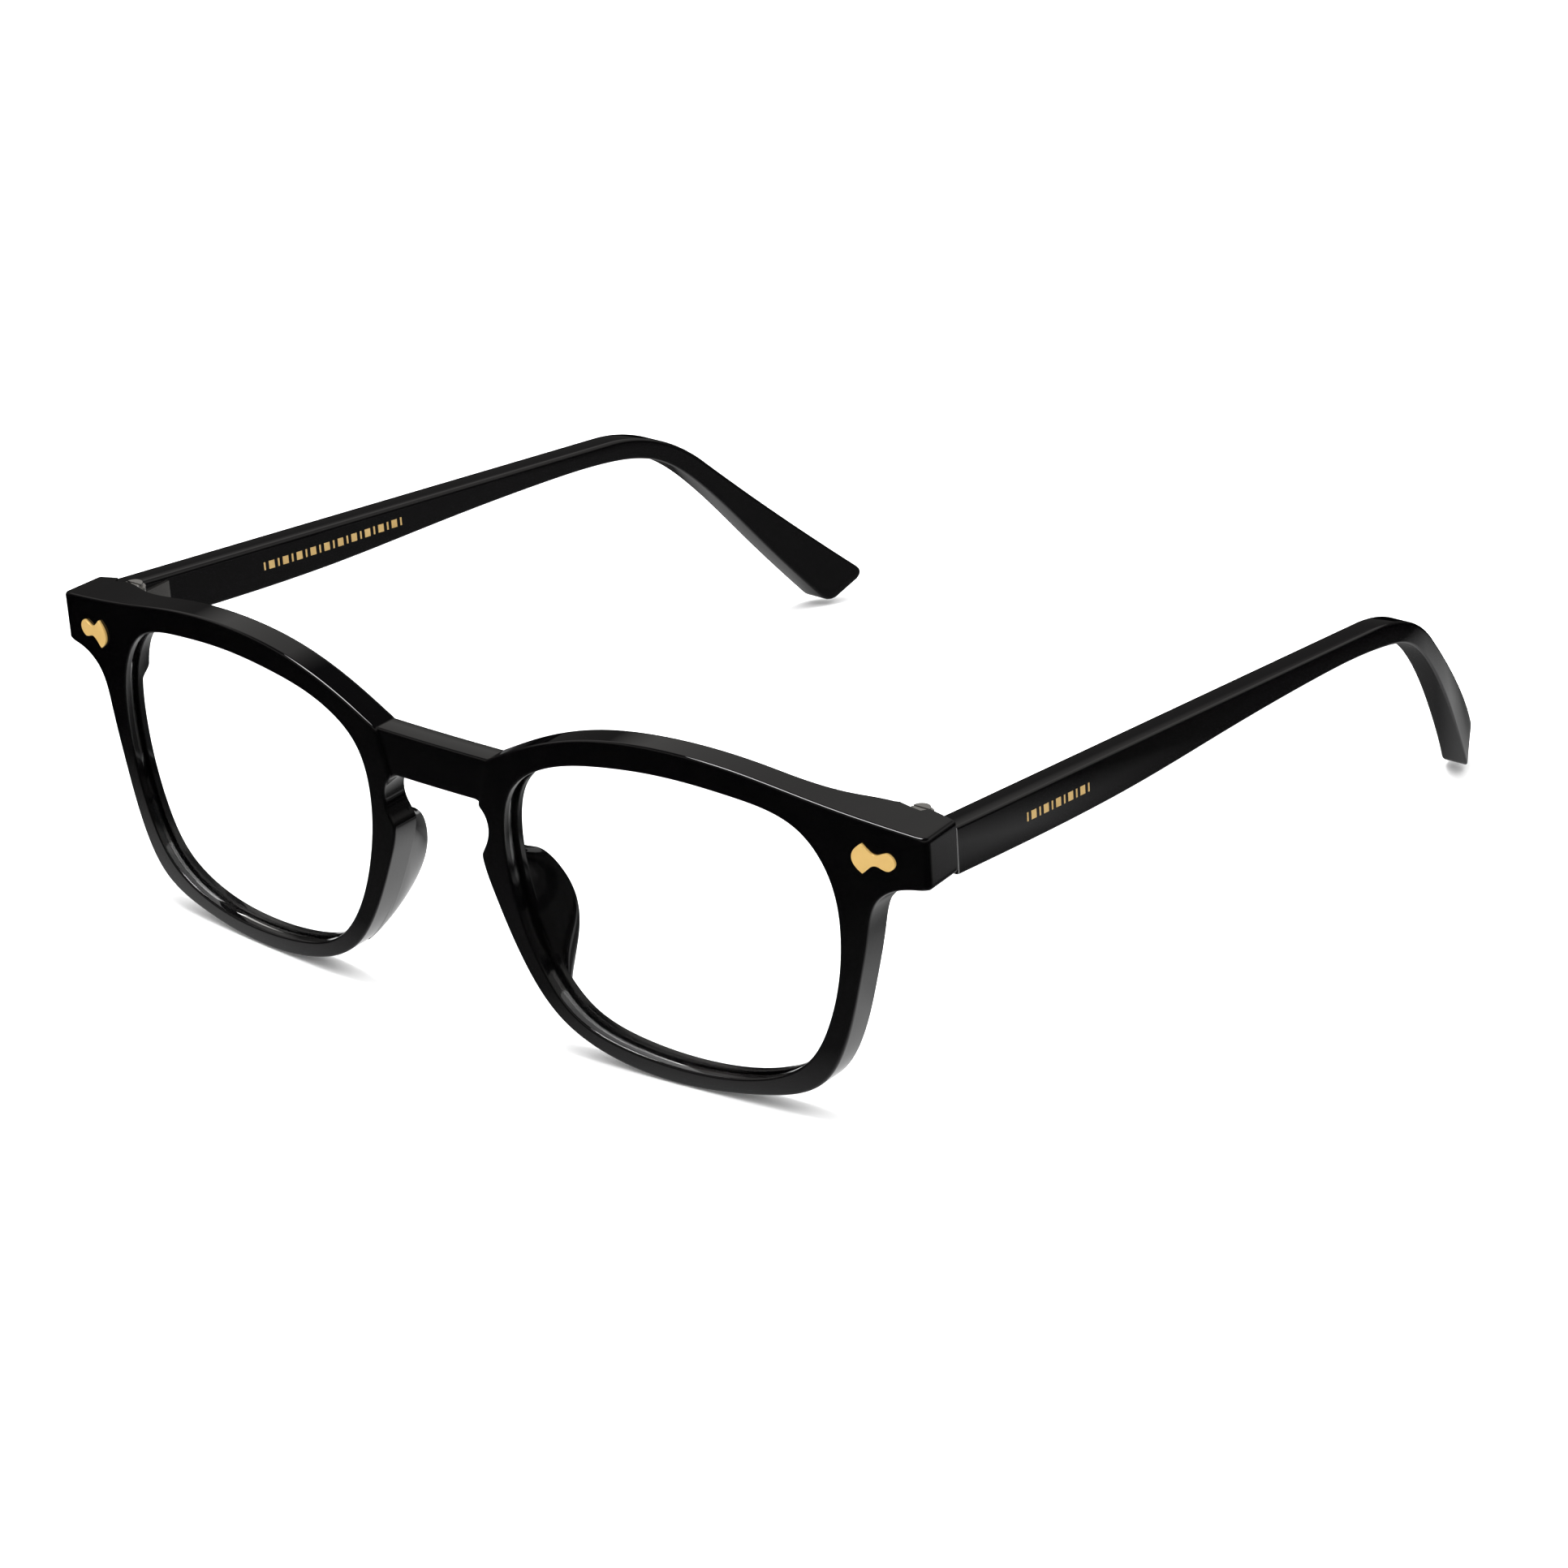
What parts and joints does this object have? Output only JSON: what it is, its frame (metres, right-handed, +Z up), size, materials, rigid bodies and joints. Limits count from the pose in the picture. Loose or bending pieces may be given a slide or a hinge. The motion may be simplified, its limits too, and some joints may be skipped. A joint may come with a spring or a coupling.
{
  "type": "eyeglasses",
  "caption": "Full-rim spectacles in glossy black plastic, with keyhole bridge, built-up nose pads, gold corner plaques and folding temples on barrel hinges.",
  "frame": {"origin": "middle of the bounding box's footprint, on the surface that the open glasses stand on", "axes": "+X to the wearer's left, -Y the way the front faces, +Y along the open temples, +Z up"},
  "size_m": [0.142, 0.1528, 0.0453],
  "materials": {
    "black_acetate": "polished black cellulose acetate",
    "clear_lens": "clear plastic demonstration lens",
    "gold_plaque": "satin gold plate",
    "hinge_metal": "nickel-plated hinge metal",
    "core_wire": "drawn nickel-silver wire"
  },
  "bodies": {
    "front": {"front_frame": "black_acetate", "lens_left": "clear_lens", "lens_right": "clear_lens", "nose_pad_left": "black_acetate", "nose_pad_right": "black_acetate", "plaque_left": "gold_plaque", "plaque_right": "gold_plaque", "front_hinge_leaf_left": "hinge_metal", "front_hinge_leaf_right": "hinge_metal", "hinge_screw_left": "hinge_metal", "hinge_screw_right": "hinge_metal"},
    "temple_left": {"temple_left": "black_acetate", "temple_hinge_leaf_left": "hinge_metal", "core_wire_left": "core_wire"},
    "temple_right": {"temple_right": "black_acetate", "temple_hinge_leaf_right": "hinge_metal", "core_wire_right": "core_wire"}
  },
  "joints": [
    {"name": "temple_left_fold", "type": "hinge", "parent": "front", "child": "temple_left", "pos_m": [0.0649, -0.06206, 0.03702], "axis": [0, -0.0711, 0.9975], "range_deg": [0, 86]},
    {"name": "temple_right_fold", "type": "hinge", "parent": "front", "child": "temple_right", "pos_m": [-0.0649, -0.06206, 0.03702], "axis": [0, 0.0711, -0.9975], "range_deg": [0, 78]}
  ]
}
